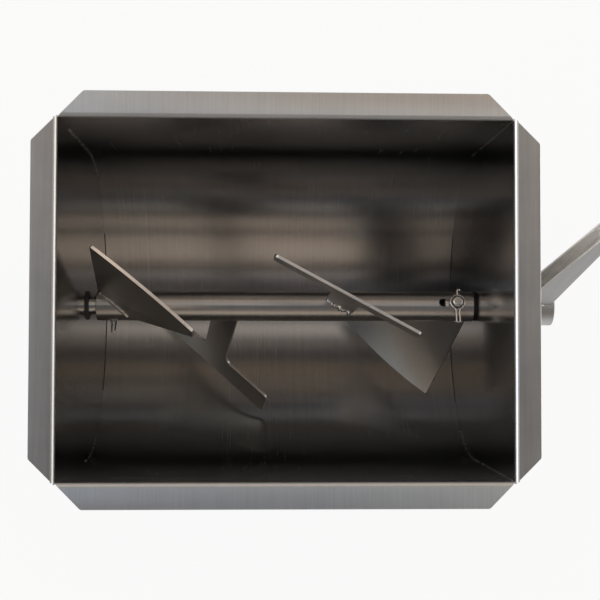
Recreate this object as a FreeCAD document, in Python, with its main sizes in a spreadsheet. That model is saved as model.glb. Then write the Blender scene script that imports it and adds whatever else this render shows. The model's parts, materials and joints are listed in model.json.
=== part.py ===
import FreeCAD
import Part
import Sketcher
import math
import os
import re

# Manual meat mixer: a U-shaped stainless tank on two folded stands, with a removable
# mixing tube that carries four paddles and a hand crank on the right.
# Millimetres. +Z is up, the crank is on +X, the front is -Y. The origin lies on the
# table, under the middle of the whole machine. Inside this file pieces are drawn from
# the shaft axis at the middle of the tank, and their placements carry them up.

os.makedirs("parts", exist_ok=True)
doc = FreeCAD.newDocument("MeatMixer")

# Driving sizes, each with what it measures

sizes = {
    "inner_length": (330, "tank, inside, left to right"),
    "inner_width": (262, "tank, inside, front to back"),
    "wall_depth": (163, "rim down to the shaft axis"),
    "tank_sheet": (1.5, "sheet of the tank and its end plates"),
    "rim_reach": (19, "inside face of a wall to the free edge of its rim"),
    "rim_corner": (3, "rounding of the free rim corners"),
    "long_rim_inset": (2.6, "tank corner back to the mitre of a front or back rim"),
    "end_rim_inset": (1.2, "tank corner back to the mitre of an end rim"),
    "bend_radius": (1.5, "inside radius of the folds"),
    "shaft_height": (190, "table to shaft axis"),
    "stand_sheet": (2, "sheet of the stands"),
    "stand_drop": (48, "shaft axis down to the top of a stand"),
    "stand_top_width": (130, "width of a stand at its top"),
    "stand_base_width": (252, "width of a stand at its foot"),
    "stand_lip": (14, "depth of the folded side lips of a stand"),
    "tab_reach": (31, "depth of a foot tab"),
    "tab_width": (54, "width of a foot tab"),
    "arch_rise": (26, "height of the arch between the feet"),
    "arch_corner": (14, "rounding of the arch"),
    "foot_height": (16, "rubber foot below its tab"),
    "foot_radius": (14, "rubber foot at the table"),
    "foot_taper": (2, "how much narrower the foot is at its top"),
    "foot_recess": (9, "depth of the screw recess in a foot"),
    "foot_inset": (26, "stand edge to the middle of a foot"),
    "foot_screw_radius": (3, "M6 foot screw"),
    "screw_head_radius": (6, "pan head of the foot screw"),
    "screw_head_height": (4, "pan head of the foot screw"),
    "screw_spare": (3, "screw end above its nut"),
    "nut_flats": (10, "M6 nut across its flats"),
    "nut_height": (5, "M6 nut"),
    "journal_radius": (8, "shaft in its bushings"),
    "bush_wall": (3, "wall of a nylon bushing"),
    "bush_flange": (2, "thickness of the bushing collar"),
    "bush_flange_reach": (4, "bushing collar beyond the bushing"),
    "boss_wall": (5, "wall of the welded bearing boss"),
    "boss_length": (20, "bearing boss outside the end plate"),
    "boss_fillet": (2.5, "weld fillet round the boss"),
    "running_clearance": (0.05, "radial, shaft in bushing and grip on bolt"),
    "fit_clearance": (0.05, "radial, between pieces that don't turn on each other"),
    "axial_gap": (0.3, "end play between turning and still pieces"),
    "seal_thickness": (1.6, "rubber seal on the inside of an end plate"),
    "seal_reach": (4.2, "rubber seal beyond the shaft"),
    "tube_radius": (12.7, "mixing tube, one inch outside"),
    "tube_wall": (1.5, "mixing tube"),
    "neck_length": (8.2, "left end plate to the mixing tube"),
    "neck_groove": (1.4, "groove in the left shaft, its width and its place beside the tube"),
    "plug_length": (25, "shaft plugs inside the mixing tube"),
    "edge_break": (0.6, "chamfer on turned ends"),
    "thread_radius": (6, "left shaft thread"),
    "left_washer_radius": (15, "washer on the left shaft end"),
    "washer_sheet": (1.6, "washers"),
    "left_nut_flats": (19, "nut on the left shaft end"),
    "left_nut_height": (8, "nut on the left shaft end"),
    "thread_spare": (1.5, "thread end beyond its nut"),
    "pin_radius": (3.3, "lock pin shank"),
    "pin_play": (0.15, "radial, lock pin in its holes"),
    "pin_head_radius": (4.9, "domed head of a lock pin"),
    "pin_head_height": (2.6, "domed head of a lock pin"),
    "pin_inset_left": (13.2, "tube end to the left lock pin"),
    "pin_inset_right": (14.8, "tube end to the right lock pin"),
    "pin_angle_right": (-14, "right lock pin, turned from straight up"),
    "pin_angle_left": (148, "left lock pin, turned from straight up"),
    "pin_washer_radius": (6.9, "washer under a lock pin's clip"),
    "pin_washer_sheet": (1, "washer under a lock pin's clip"),
    "slot_length": (15.5, "right tube slot, its rounded end to the pin"),
    "wire_radius": (0.8, "spring clip wire"),
    "clip_bow": (6, "spring clip round the pin, to the wire's middle"),
    "clip_bow_blend": (3, "blend of the bow into the closed loop"),
    "clip_loop": (1.5, "half the width of the closed loop, to the wire's middle"),
    "clip_loop_reach": (16.2, "pin to the middle of the loop's round end"),
    "clip_stem_blend": (1.5, "blend of the bow into the stem"),
    "clip_stem": (9.8, "pin to the start of the hook at the end of the stem"),
    "clip_hook": (1.2, "hook at the end of the stem, to the wire's middle"),
    "paddle_sheet": (2.5, "plate of the paddles"),
    "paddle_root": (5, "how far above the shaft axis a paddle's outline starts"),
    "end_sweep": (110, "radius that the outer edge of an end paddle sweeps"),
    "end_near": (8, "middle of an end paddle to its outer corner by the wall"),
    "end_far": (93.5, "middle of an end paddle to its far corner"),
    "end_root_near": (15, "middle of an end paddle to its root by the wall"),
    "end_root_far": (19, "middle of an end paddle to its far root"),
    "end_tip": (11, "height of the far end of an end paddle"),
    "end_corner": (1.5, "rounding of the corners of an end paddle"),
    "tee_length": (128.5, "blade of a middle paddle"),
    "tee_height": (112, "shaft axis to the outer edge of a middle paddle"),
    "tee_blade": (28, "height of the blade of a middle paddle"),
    "tee_stem": (25.2, "width of the stem of a middle paddle"),
    "tee_fillet": (7, "rounding between stem and blade"),
    "tee_corner": (4, "rounding of the blade's corners"),
    "end_left_inset": (21.9, "left end plate to the middle of its paddle"),
    "end_left_angle": (-20.4, "left end paddle, turned from straight up"),
    "end_left_skew": (38.7, "left end paddle, set across the shaft"),
    "end_left_lean": (0, "left end paddle, leant along the shaft"),
    "end_right_inset": (19, "right end plate to the middle of its paddle"),
    "end_right_angle": (130, "right end paddle, turned from straight up"),
    "end_right_skew": (-40.3, "right end paddle, set across the shaft"),
    "end_right_lean": (-11.9, "right end paddle, leant along the shaft"),
    "middle_left_share": (0.14, "left middle paddle from the tank's middle, as a share of its length"),
    "middle_left_angle": (144.1, "left middle paddle, turned from straight up"),
    "middle_left_skew": (-41.5, "left middle paddle, set across the shaft"),
    "middle_left_lean": (-11.5, "left middle paddle, leant along the shaft"),
    "middle_right_share": (0.147, "right middle paddle from the tank's middle, as a share of its length"),
    "middle_right_angle": (-2.9, "right middle paddle, turned from straight up"),
    "middle_right_skew": (28.3, "right middle paddle, set across the shaft"),
    "middle_right_lean": (0, "right middle paddle, leant along the shaft"),
    "hub_reach": (65.8, "inside face of the end plate to the outer end of the hub"),
    "hub_radius": (16, "crank hub"),
    "hub_cap": (4, "closed outer end of the hub"),
    "set_screw_radius": (3, "M6 set screw of the hub"),
    "set_screw_inset": (14, "inner end of the hub to its set screw"),
    "crank_angle": (-39, "crank arm, turned from straight up"),
    "crank_lean": (25, "crank arm, leant outward"),
    "crank_length": (150, "shaft axis to grip axis"),
    "channel_width": (18, "folded crank arm, across"),
    "channel_depth": (24.6, "folded crank arm at the hub, web to the edge of its side walls"),
    "channel_sheet": (2, "folded crank arm"),
    "arm_setback": (7.8, "hub end back to the web of the arm, at the shaft axis"),
    "arm_root": (5, "how far above the shaft axis the arm's outline starts"),
    "arm_tab": (14, "grip axis down to the bend of the arm's flat end"),
    "grip_bolt_radius": (4, "axle of the grip"),
    "rivet_radius": (4.7, "riveted end of the grip axle"),
    "rivet_height": (1.8, "riveted end of the grip axle"),
    "bolt_head_radius": (7, "outer head of the grip axle"),
    "bolt_head_height": (3.5, "outer head of the grip axle"),
    "grip_length": (104, "turning grip"),
    "grip_radius": (14.5, "turning grip at its fullest"),
    "grip_neck_radius": (11, "turning grip at its inner end"),
    "grip_end_radius": (12.5, "turning grip at its outer end"),
    "grip_collar": (6, "even inner end of the grip"),
    "grip_swell": (47, "inner end of the grip to its fullest"),
    "grip_taper": (26, "fullest part of the grip to its outer end"),
    "grip_washer_radius": (9.5, "washer between arm and grip"),
}

sheet = doc.addObject("Spreadsheet::Sheet", "Sizes")
for row, (name, (number, meaning)) in enumerate(sizes.items(), start=1):
    sheet.set("A%d" % row, meaning)
    sheet.set("B%d" % row, str(number))
    sheet.setAlias("B%d" % row, name)

# Sizes that follow from the driving ones

derived = {
    "tank_radius": "inner_width / 2",
    "tank_outside": "tank_radius + tank_sheet",
    "plate_face": "inner_length / 2 + tank_sheet",
    "bend_outside": "bend_radius + tank_sheet",
    "bush_outside": "journal_radius + bush_wall",
    "boss_inside": "bush_outside + fit_clearance",
    "boss_outside": "boss_inside + boss_wall",
    "boss_end": "plate_face + boss_length",
    "bush_end": "boss_end + bush_flange",
    "shoulder": "bush_end + axial_gap",
    "tube_inside": "tube_radius - tube_wall",
    "plug_radius": "tube_inside - fit_clearance",
    "tube_left": "inner_length / 2 - neck_length",
    "tube_right": "inner_length / 2 - seal_thickness - axial_gap",
    "pin_left": "tube_left - pin_inset_left",
    "pin_right": "tube_right - pin_inset_right",
    "pin_seat": "tube_radius + pin_washer_sheet",
    "clip_level": "pin_seat + wire_radius + axial_gap",
    "pin_head_level": "clip_level + wire_radius + axial_gap",
    "hub_end": "inner_length / 2 + hub_reach",
    "web_place": "hub_end - arm_setback",
    "bend_level": "crank_length - arm_tab",
    "tab_face": "web_place + bend_level * tan(crank_lean)",
    "end_left_place": "end_left_inset - inner_length / 2",
    "end_right_place": "inner_length / 2 - end_right_inset",
    "middle_left_place": "-middle_left_share * inner_length",
    "middle_right_place": "middle_right_share * inner_length",
    "stand_base": "shaft_height - foot_height",
    "foot_place": "plate_face + tab_reach / 2",
    "foot_side": "stand_base_width / 2 - foot_inset",
    "left_washer_end": "shoulder + washer_sheet",
    "left_nut_end": "left_washer_end + left_nut_height",
    "left_end": "left_nut_end + thread_spare",
    "grip_start": "tab_face + washer_sheet + axial_gap",
    "grip_end": "grip_start + grip_length",
    "grip_recess": "bolt_head_height + axial_gap",
    "machine_middle": "(grip_end - left_end) / 2",
}

first_row = len(sizes) + 2
words = set(sizes) | set(derived)


def bound(text):
    # A formula as written here, with each size's name led back to the sheet
    return re.sub(r"[a-z_]+", lambda found: "Sizes." + found[0] if found[0] in words else found[0], text)


for row, (name, formula) in enumerate(derived.items(), start=first_row):
    sheet.set("A%d" % row, "worked out")
    sheet.set("B%d" % row, "=" + formula)
    sheet.setAlias("B%d" % row, name)
    doc.recompute()


def size(text):
    answer = sheet.evalExpression(bound(text))
    return float(getattr(answer, "Value", answer))


# Helpers for sketches, bodies and placements

def new_body(name):
    body = doc.addObject("PartDesign::Body", name)
    body.Label = name
    return body


def new_sketch(body, name, plane, level="0"):
    sketch = body.newObject("Sketcher::SketchObject", name)
    for feature in body.Origin.OriginFeatures:
        if feature.Role == plane:
            sketch.AttachmentSupport = [(feature, "")]
    sketch.MapMode = "FlatFace"
    sketch.setExpression("AttachmentOffset.Base.z", bound(level))
    return sketch


def fix_point(sketch, geometry, end, x, y):
    # Binds one end of a line or arc to formulas for its two coordinates
    for kind, formula in (("DistanceX", x), ("DistanceY", y)):
        if formula is None:
            continue
        index = sketch.addConstraint(Sketcher.Constraint(kind, -1, 1, geometry, end, size(formula)))
        sketch.setExpression("Constraints[%d]" % index, bound(formula))


def draw_outline(sketch, corners):
    # Straight closed outline whose corners are pairs of formulas
    points = [FreeCAD.Vector(size(x), size(y), 0) for x, y in corners]
    first = sketch.GeometryCount
    count = len(points)
    for index in range(count):
        sketch.addGeometry(Part.LineSegment(points[index], points[(index + 1) % count]), False)
    for index in range(count):
        following = first + (index + 1) % count
        sketch.addConstraint(Sketcher.Constraint("Coincident", first + index, 2, following, 1))
        fix_point(sketch, first + index, 1, *corners[index])


def draw_circle(sketch, x, y, radius):
    centre = FreeCAD.Vector(size(x), size(y), 0)
    index = sketch.addGeometry(Part.Circle(centre, FreeCAD.Vector(0, 0, 1), size(radius)), False)
    fix_point(sketch, index, 3, x, y)
    bind = sketch.addConstraint(Sketcher.Constraint("Radius", index, size(radius)))
    sketch.setExpression("Constraints[%d]" % bind, bound(radius))


def draw_trough(sketch, radius, top):
    # Closed U: two upright sides, a half round below the shaft and a level top
    across = size(radius)
    height = size(top)
    up = FreeCAD.Vector(0, 0, 1)
    corners = [FreeCAD.Vector(-across, height, 0), FreeCAD.Vector(-across, 0, 0),
               FreeCAD.Vector(across, 0, 0), FreeCAD.Vector(across, height, 0)]
    left = sketch.addGeometry(Part.LineSegment(corners[0], corners[1]), False)
    circle = Part.Circle(FreeCAD.Vector(0, 0, 0), up, across)
    bottom = sketch.addGeometry(Part.ArcOfCircle(circle, math.pi, 2 * math.pi), False)
    right = sketch.addGeometry(Part.LineSegment(corners[2], corners[3]), False)
    lid = sketch.addGeometry(Part.LineSegment(corners[3], corners[0]), False)
    sketch.addConstraint(Sketcher.Constraint("Coincident", bottom, 3, -1, 1))
    sketch.addConstraint(Sketcher.Constraint("Tangent", left, 2, bottom, 1))
    sketch.addConstraint(Sketcher.Constraint("Tangent", bottom, 2, right, 1))
    sketch.addConstraint(Sketcher.Constraint("Coincident", right, 2, lid, 1))
    sketch.addConstraint(Sketcher.Constraint("Coincident", lid, 2, left, 1))
    sketch.addConstraint(Sketcher.Constraint("Vertical", left))
    sketch.addConstraint(Sketcher.Constraint("Vertical", right))
    sketch.addConstraint(Sketcher.Constraint("Horizontal", lid))
    bind = sketch.addConstraint(Sketcher.Constraint("Radius", bottom, across))
    sketch.setExpression("Constraints[%d]" % bind, bound(radius))
    fix_point(sketch, left, 1, None, top)


def pad(body, sketch, length, reverse=False, middle=False):
    feature = body.newObject("PartDesign::Pad", sketch.Name + "_pad")
    feature.Profile = sketch
    feature.setExpression("Length", bound(length))
    feature.Reversed = reverse
    feature.Midplane = middle
    sketch.Visibility = False
    doc.recompute()
    return feature


def pocket(body, sketch, length=None, reverse=False, middle=False):
    # Without a length the cut goes through everything, both ways
    before = body.Shape.Volume
    feature = body.newObject("PartDesign::Pocket", sketch.Name + "_cut")
    feature.Profile = sketch
    if length is None:
        feature.Type = 1
        feature.Midplane = True
    else:
        feature.setExpression("Length", bound(length))
        feature.Midplane = middle
    feature.Reversed = reverse
    doc.recompute()
    if not body.Shape.Volume < before:
        raise RuntimeError("%s cuts nothing" % feature.Name)
    return feature


def revolve(body, sketch, axis="H_Axis"):
    feature = body.newObject("PartDesign::Revolution", sketch.Name + "_turned")
    feature.Profile = sketch
    feature.ReferenceAxis = (sketch, [axis])
    feature.Angle = 360
    doc.recompute()
    return feature


def edges_where(body, test):
    # Names of the edges whose middle passes the test
    names = []
    for index, edge in enumerate(body.Shape.Edges, start=1):
        middle = edge.valueAt((edge.FirstParameter + edge.LastParameter) / 2)
        if test(edge, middle):
            names.append("Edge%d" % index)
    return names


def dress(body, kind, name, test, amount):
    # Fillet or chamfer on every edge that passes the test
    names = edges_where(body, test)
    if not names:
        raise RuntimeError("%s finds no edge" % name)
    feature = body.newObject("PartDesign::" + kind, name)
    feature.Base = (body.Tip if body.Tip is not feature else body.Group[-2], names)
    feature.setExpression("Radius" if kind == "Fillet" else "Size", bound(amount))
    doc.recompute()
    return feature


def near(first, second):
    return abs(first - second) < 0.01


def upright(edge):
    return near(abs(edge.tangentAt(edge.FirstParameter).z), 1)


def along_shaft(edge):
    return near(abs(edge.tangentAt(edge.FirstParameter).x), 1)


parts = []


def place(piece, x="0", y="0", z="0", turn=None):
    # Carries a piece from the drawing frame on the shaft axis to the table frame
    piece.Placement.Rotation = turn or FreeCAD.Rotation()
    piece.setExpression("Placement.Base.x", bound("(%s) - machine_middle" % x))
    piece.setExpression("Placement.Base.y", bound(y))
    piece.setExpression("Placement.Base.z", bound("(%s) + shaft_height" % z))
    parts.append(piece)


def turned(name, corners, x="0", y="0", z="0", turn=None, axis="H_Axis"):
    # A lathe-turned piece from half its section
    body = new_body(name)
    sketch = new_sketch(body, name + "_section", "XZ_Plane")
    draw_outline(sketch, corners)
    revolve(body, sketch, axis)
    place(body, x, y, z, turn)
    return body


def about_shaft(angle):
    return FreeCAD.Rotation(FreeCAD.Vector(1, 0, 0), size(angle))


# Tank shell: front, half-round bottom and back in one sheet, with folded front and back rims

shell = new_body("trough_shell")
section = new_sketch(shell, "shell_outside", "YZ_Plane")
draw_trough(section, "tank_outside", "wall_depth - bend_outside")
pad(shell, section, "inner_length", middle=True)
section = new_sketch(shell, "shell_inside", "YZ_Plane")
draw_trough(section, "tank_radius", "wall_depth")
pocket(shell, section)
for side, sign in (("front", "-"), ("back", "")):
    section = new_sketch(shell, side + "_rim", "YZ_Plane")
    draw_outline(section, [
        (sign + "tank_radius", "wall_depth - 2 * bend_outside"),
        (sign + "tank_radius", "wall_depth"),
        (sign + "(tank_radius + rim_reach)", "wall_depth"),
        (sign + "(tank_radius + rim_reach)", "wall_depth - tank_sheet"),
        (sign + "tank_outside", "wall_depth - tank_sheet"),
        (sign + "tank_outside", "wall_depth - 2 * bend_outside")])
    pad(shell, section, "inner_length", middle=True)


def shell_bend(across, level):
    def test(edge, middle):
        return (along_shaft(edge) and near(abs(middle.y), size(across)) and near(middle.z, size(level)))
    return test


dress(shell, "Fillet", "rim_fold_outside", shell_bend("tank_radius", "wall_depth"), "bend_outside")
dress(shell, "Fillet", "rim_fold_inside", shell_bend("tank_outside", "wall_depth - tank_sheet"), "bend_radius")


def cut_mitres(body, run, wall, inset, outward, along_y=False):
    # 45 degree ends of folded rims. A rim is run long each way, and folds out of the wall
    plan = new_sketch(body, body.Name + "_mitres", "XY_Plane", "wall_depth")
    start = "(%s + bend_outside)" % wall
    edge = "(%s + rim_reach)" % wall
    for end in ("", "-"):
        for way in outward:
            corners = [
                (end + "(%s)" % run, way + start),
                (end + "(%s)" % run, way + edge),
                (end + "(%s - %s - rim_reach + bend_outside)" % (run, inset), way + edge),
                (end + "(%s - %s)" % (run, inset), way + start)]
            draw_outline(plan, [(y, x) for x, y in corners] if along_y else corners)
    pocket(body, plan, "tank_sheet * 2", middle=True)


cut_mitres(shell, "inner_length / 2", "tank_radius", "long_rim_inset", ("", "-"))


def rim_corner_edge(edge, middle):
    return upright(edge) and near(edge.Length, size("tank_sheet"))


def on_free_rim(edge, middle):
    along = near(abs(middle.x), size("inner_length / 2 - long_rim_inset - rim_reach + bend_outside"))
    return rim_corner_edge(edge, middle) and along and near(abs(middle.y), size("tank_radius + rim_reach"))


dress(shell, "Fillet", "rim_corners", on_free_rim, "rim_corner")
place(shell)

# End plates: a D-shaped wall with a folded rim and the bushing's hole


def build_end_plate(name, sign):
    body = new_body(name)
    face = new_sketch(body, name + "_wall", "YZ_Plane", sign + "inner_length / 2")
    draw_trough(face, "tank_outside", "wall_depth - bend_outside")
    pad(body, face, "tank_sheet", reverse=sign == "-")
    fold = new_sketch(body, name + "_rim", "XZ_Plane")
    draw_outline(fold, [
        (sign + "inner_length / 2", "wall_depth - 2 * bend_outside"),
        (sign + "inner_length / 2", "wall_depth"),
        (sign + "(inner_length / 2 + rim_reach)", "wall_depth"),
        (sign + "(inner_length / 2 + rim_reach)", "wall_depth - tank_sheet"),
        (sign + "plate_face", "wall_depth - tank_sheet"),
        (sign + "plate_face", "wall_depth - 2 * bend_outside")])
    pad(body, fold, "inner_width", middle=True)

    def bend(place_x, level):
        def test(edge, middle):
            across = near(abs(edge.tangentAt(edge.FirstParameter).y), 1)
            return across and near(abs(middle.x), size(place_x)) and near(middle.z, size(level))
        return test

    dress(body, "Fillet", name + "_fold_outside", bend("inner_length / 2", "wall_depth"), "bend_outside")
    dress(body, "Fillet", name + "_fold_inside", bend("plate_face", "wall_depth - tank_sheet"), "bend_radius")
    cut_mitres(body, "tank_radius", "inner_length / 2", "end_rim_inset", (sign,), along_y=True)

    def free_corner(edge, middle):
        out = near(abs(middle.x), size("inner_length / 2 + rim_reach"))
        return rim_corner_edge(edge, middle) and out

    dress(body, "Fillet", name + "_corners", free_corner, "rim_corner")
    hole = new_sketch(body, name + "_hole", "YZ_Plane")
    draw_circle(hole, "0", "0", "boss_inside")
    pocket(body, hole)
    place(body)


build_end_plate("end_plate_left", "-")
build_end_plate("end_plate_right", "")

# Stands: a folded web under each end plate, with side lips, an arch and two foot tabs


def build_stand(name, sign):
    body = new_body(name)
    back = sign == "-"
    web = new_sketch(body, name + "_web", "YZ_Plane", sign + "plate_face")
    draw_outline(web, [
        ("-stand_top_width / 2", "-stand_drop"),
        ("-stand_base_width / 2", "-stand_base"),
        ("stand_base_width / 2", "-stand_base"),
        ("stand_top_width / 2", "-stand_drop")])
    pad(body, web, "stand_lip", reverse=back)
    tray = new_sketch(body, name + "_tray", "YZ_Plane", sign + "(plate_face + stand_sheet)")
    draw_outline(tray, [
        ("-stand_top_width / 2 + stand_sheet", "-stand_drop + stand_sheet"),
        ("-stand_base_width / 2 + stand_sheet", "-stand_base - stand_sheet"),
        ("stand_base_width / 2 - stand_sheet", "-stand_base - stand_sheet"),
        ("stand_top_width / 2 - stand_sheet", "-stand_drop + stand_sheet")])
    pocket(body, tray, "stand_lip", reverse=not back)
    tabs = new_sketch(body, name + "_tabs", "XY_Plane", "-stand_base")
    for side in ("", "-"):
        draw_outline(tabs, [
            (sign + "plate_face", side + "stand_base_width / 2"),
            (sign + "(plate_face + tab_reach)", side + "stand_base_width / 2"),
            (sign + "(plate_face + tab_reach)", side + "(stand_base_width / 2 - tab_width)"),
            (sign + "plate_face", side + "(stand_base_width / 2 - tab_width)")])
    pad(body, tabs, "stand_sheet")
    arch = new_sketch(body, name + "_arch", "YZ_Plane", sign + "plate_face")
    draw_outline(arch, [
        ("-stand_base_width / 2 + tab_width", "-stand_base - stand_sheet"),
        ("-stand_base_width / 2 + tab_width + arch_rise / 2", "-stand_base + arch_rise"),
        ("stand_base_width / 2 - tab_width - arch_rise / 2", "-stand_base + arch_rise"),
        ("stand_base_width / 2 - tab_width", "-stand_base - stand_sheet")])
    pocket(body, arch, "stand_sheet * 3", middle=True)

    def arch_edge(edge, middle):
        level = near(middle.z, size("-stand_base + arch_rise"))
        return along_shaft(edge) and level and near(edge.Length, size("stand_sheet"))

    dress(body, "Fillet", name + "_arch_corners", arch_edge, "arch_corner")
    holes = new_sketch(body, name + "_holes", "XY_Plane", "-stand_base")
    for side in ("", "-"):
        draw_circle(holes, sign + "foot_place", side + "foot_side", "foot_screw_radius + pin_play")
    pocket(body, holes, "stand_sheet * 3", middle=True)

    def tab_corner(edge, middle):
        return upright(edge) and near(abs(middle.x), size("plate_face + tab_reach"))

    dress(body, "Fillet", name + "_tab_corners", tab_corner, "rim_corner * 2")
    place(body)


build_stand("stand_left", "-")
build_stand("stand_right", "")

# Feet: a rubber foot, its screw from below and a nut on the tab

sides = (("front_left", "-", "-"), ("front_right", "-", ""), ("back_left", "", "-"), ("back_right", "", ""))
for name, across, along in sides:
    x = along + "foot_place"
    y = across + "foot_side"
    turned("foot_" + name, [
        ("foot_screw_radius + pin_play", "0"),
        ("foot_radius - foot_taper", "0"),
        ("foot_radius", "-foot_height + foot_taper / 2"),
        ("foot_radius - foot_taper / 2", "-foot_height"),
        ("screw_head_radius + pin_play * 2", "-foot_height"),
        ("screw_head_radius + pin_play * 2", "-foot_height + foot_recess"),
        ("foot_screw_radius + pin_play", "-foot_height + foot_recess")],
        x, y, "-stand_base", axis="V_Axis")
    turned("foot_screw_" + name, [
        ("0", "-foot_height + foot_recess - screw_head_height"),
        ("screw_head_radius * 0.8", "-foot_height + foot_recess - screw_head_height"),
        ("screw_head_radius", "-foot_height + foot_recess - screw_head_height / 2"),
        ("screw_head_radius", "-foot_height + foot_recess"),
        ("foot_screw_radius", "-foot_height + foot_recess"),
        ("foot_screw_radius", "stand_sheet + nut_height + screw_spare - edge_break"),
        ("foot_screw_radius - edge_break", "stand_sheet + nut_height + screw_spare"),
        ("0", "stand_sheet + nut_height + screw_spare")],
        x, y, "-stand_base", axis="V_Axis")


def build_nut(name, flats, height, bore, x, y, z, turn=None):
    # Hexagon with chamfered corners and a plain bore, standing on its own +Z axis
    prism = doc.addObject("Part::Prism", name + "_hexagon")
    prism.Polygon = 6
    prism.setExpression("Circumradius", bound("(%s) / 2 / cos(30)" % flats))
    prism.setExpression("Height", bound(height))
    hole = doc.addObject("Part::Cylinder", name + "_bore")
    hole.setExpression("Radius", bound(bore))
    hole.setExpression("Height", bound(height))
    nut = doc.addObject("Part::Cut", name)
    nut.Base = prism
    nut.Tool = hole
    nut.Label = name
    place(nut, x, y, z, turn)


for name, across, along in sides:
    build_nut("foot_nut_" + name, "nut_flats", "nut_height", "foot_screw_radius + fit_clearance",
              along + "foot_place", across + "foot_side", "-stand_base + stand_sheet")

# Bearings: a welded boss, a collared nylon bushing and an inner seal at each end


def build_bearing(name, turn):
    turned("bearing_boss_" + name, [
        ("plate_face", "boss_inside"),
        ("boss_end", "boss_inside"),
        ("boss_end", "boss_outside - edge_break"),
        ("boss_end - edge_break", "boss_outside"),
        ("plate_face + boss_fillet", "boss_outside"),
        ("plate_face", "boss_outside + boss_fillet")], turn=turn)
    turned("bushing_" + name, [
        ("inner_length / 2", "journal_radius + running_clearance"),
        ("bush_end", "journal_radius + running_clearance"),
        ("bush_end", "bush_outside + bush_flange_reach"),
        ("boss_end", "bush_outside + bush_flange_reach"),
        ("boss_end", "bush_outside"),
        ("inner_length / 2", "bush_outside")], turn=turn)
    turned("shaft_seal_" + name, [
        ("inner_length / 2", "journal_radius + running_clearance * 2"),
        ("inner_length / 2", "journal_radius + seal_reach"),
        ("inner_length / 2 - seal_thickness + edge_break", "journal_radius + seal_reach"),
        ("inner_length / 2 - seal_thickness", "journal_radius + seal_reach - edge_break"),
        ("inner_length / 2 - seal_thickness", "journal_radius + running_clearance * 2")], turn=turn)


half_turn = FreeCAD.Rotation(FreeCAD.Vector(0, 0, 1), 180)
build_bearing("left", half_turn)
build_bearing("right", None)

# Mixing tube with the slot and the hole for the lock pins

tube = new_body("mixing_tube")
section = new_sketch(tube, "tube_section", "XZ_Plane")
draw_outline(section, [
    ("-tube_left", "tube_inside"), ("-tube_left", "tube_radius - edge_break"),
    ("-tube_left + edge_break", "tube_radius"), ("tube_right - edge_break", "tube_radius"),
    ("tube_right", "tube_radius - edge_break"), ("tube_right", "tube_inside")])
revolve(tube, section)


def turned_sketch(body, name, angle):
    # A plan that faces out of the shaft at the given angle from straight up
    sketch = new_sketch(body, name, "XY_Plane")
    sketch.AttachmentOffset = FreeCAD.Placement(FreeCAD.Vector(0, 0, 0), about_shaft(angle))
    return sketch


slot = turned_sketch(tube, "tube_slot", "pin_angle_right")
half_slot = "(pin_radius + pin_play)"
draw_outline(slot, [
    ("pin_right - slot_length + " + half_slot, "-" + half_slot),
    ("pin_right", "-" + half_slot),
    ("pin_right", half_slot),
    ("pin_right - slot_length + " + half_slot, half_slot)])
pocket(tube, slot, "tube_radius + 1", reverse=True)
for name, at in (("slot_end", "pin_right - slot_length + " + half_slot), ("slot_seat", "pin_right")):
    circle = turned_sketch(tube, name, "pin_angle_right")
    draw_circle(circle, at, "0", half_slot)
    pocket(tube, circle, "tube_radius + 1", reverse=True)
circle = turned_sketch(tube, "left_pin_hole", "pin_angle_left")
draw_circle(circle, "-pin_left", "0", half_slot)
pocket(tube, circle, "tube_radius + 1", reverse=True)
place(tube)

# Shafts: the left stub and the right drive shaft, each with a plug in the tube's end


def drill_for_pin(body, place_x):
    plan = new_sketch(body, body.Name + "_pin_hole", "XY_Plane")
    draw_circle(plan, place_x, "0", "pin_radius + pin_play")
    pocket(body, plan)


stub = new_body("stub_shaft_left")
section = new_sketch(stub, "stub_section", "XZ_Plane")
draw_outline(section, [
    ("-tube_left + plug_length", "0"), ("-tube_left + plug_length", "plug_radius - edge_break"),
    ("-tube_left + plug_length - edge_break", "plug_radius"), ("-tube_left", "plug_radius"),
    ("-tube_left", "journal_radius"), ("-tube_left - neck_groove", "journal_radius"),
    ("-tube_left - neck_groove", "journal_radius - neck_groove / 2"),
    ("-tube_left - neck_groove * 2", "journal_radius - neck_groove / 2"),
    ("-tube_left - neck_groove * 2", "journal_radius"), ("-shoulder", "journal_radius"),
    ("-shoulder", "thread_radius"), ("-left_end + edge_break", "thread_radius"),
    ("-left_end", "thread_radius - edge_break"), ("-left_end", "0")])
revolve(stub, section)
drill_for_pin(stub, "-pin_left")
place(stub, turn=about_shaft("pin_angle_left"))

drive = new_body("drive_shaft")
section = new_sketch(drive, "drive_section", "XZ_Plane")
draw_outline(section, [
    ("tube_right - plug_length", "0"), ("tube_right - plug_length", "plug_radius - edge_break"),
    ("tube_right - plug_length + edge_break", "plug_radius"), ("tube_right", "plug_radius"),
    ("tube_right", "journal_radius"), ("hub_end - hub_cap - edge_break", "journal_radius"),
    ("hub_end - hub_cap", "journal_radius - edge_break"), ("hub_end - hub_cap", "0")])
revolve(drive, section)
drill_for_pin(drive, "pin_right")
place(drive, turn=about_shaft("pin_angle_right"))

turned("shaft_washer_left", [
    ("shoulder", "thread_radius + fit_clearance"), ("left_washer_end", "thread_radius + fit_clearance"),
    ("left_washer_end", "left_washer_radius"), ("shoulder", "left_washer_radius")], turn=half_turn)
toward_left = FreeCAD.Rotation(FreeCAD.Vector(0, 1, 0), -90)
build_nut("shaft_nut_left", "left_nut_flats", "left_nut_height", "thread_radius + fit_clearance",
          "-left_washer_end", "0", "0", toward_left)

# Lock pins: a domed pin, its washer and a bowed wire clip under the head


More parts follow.
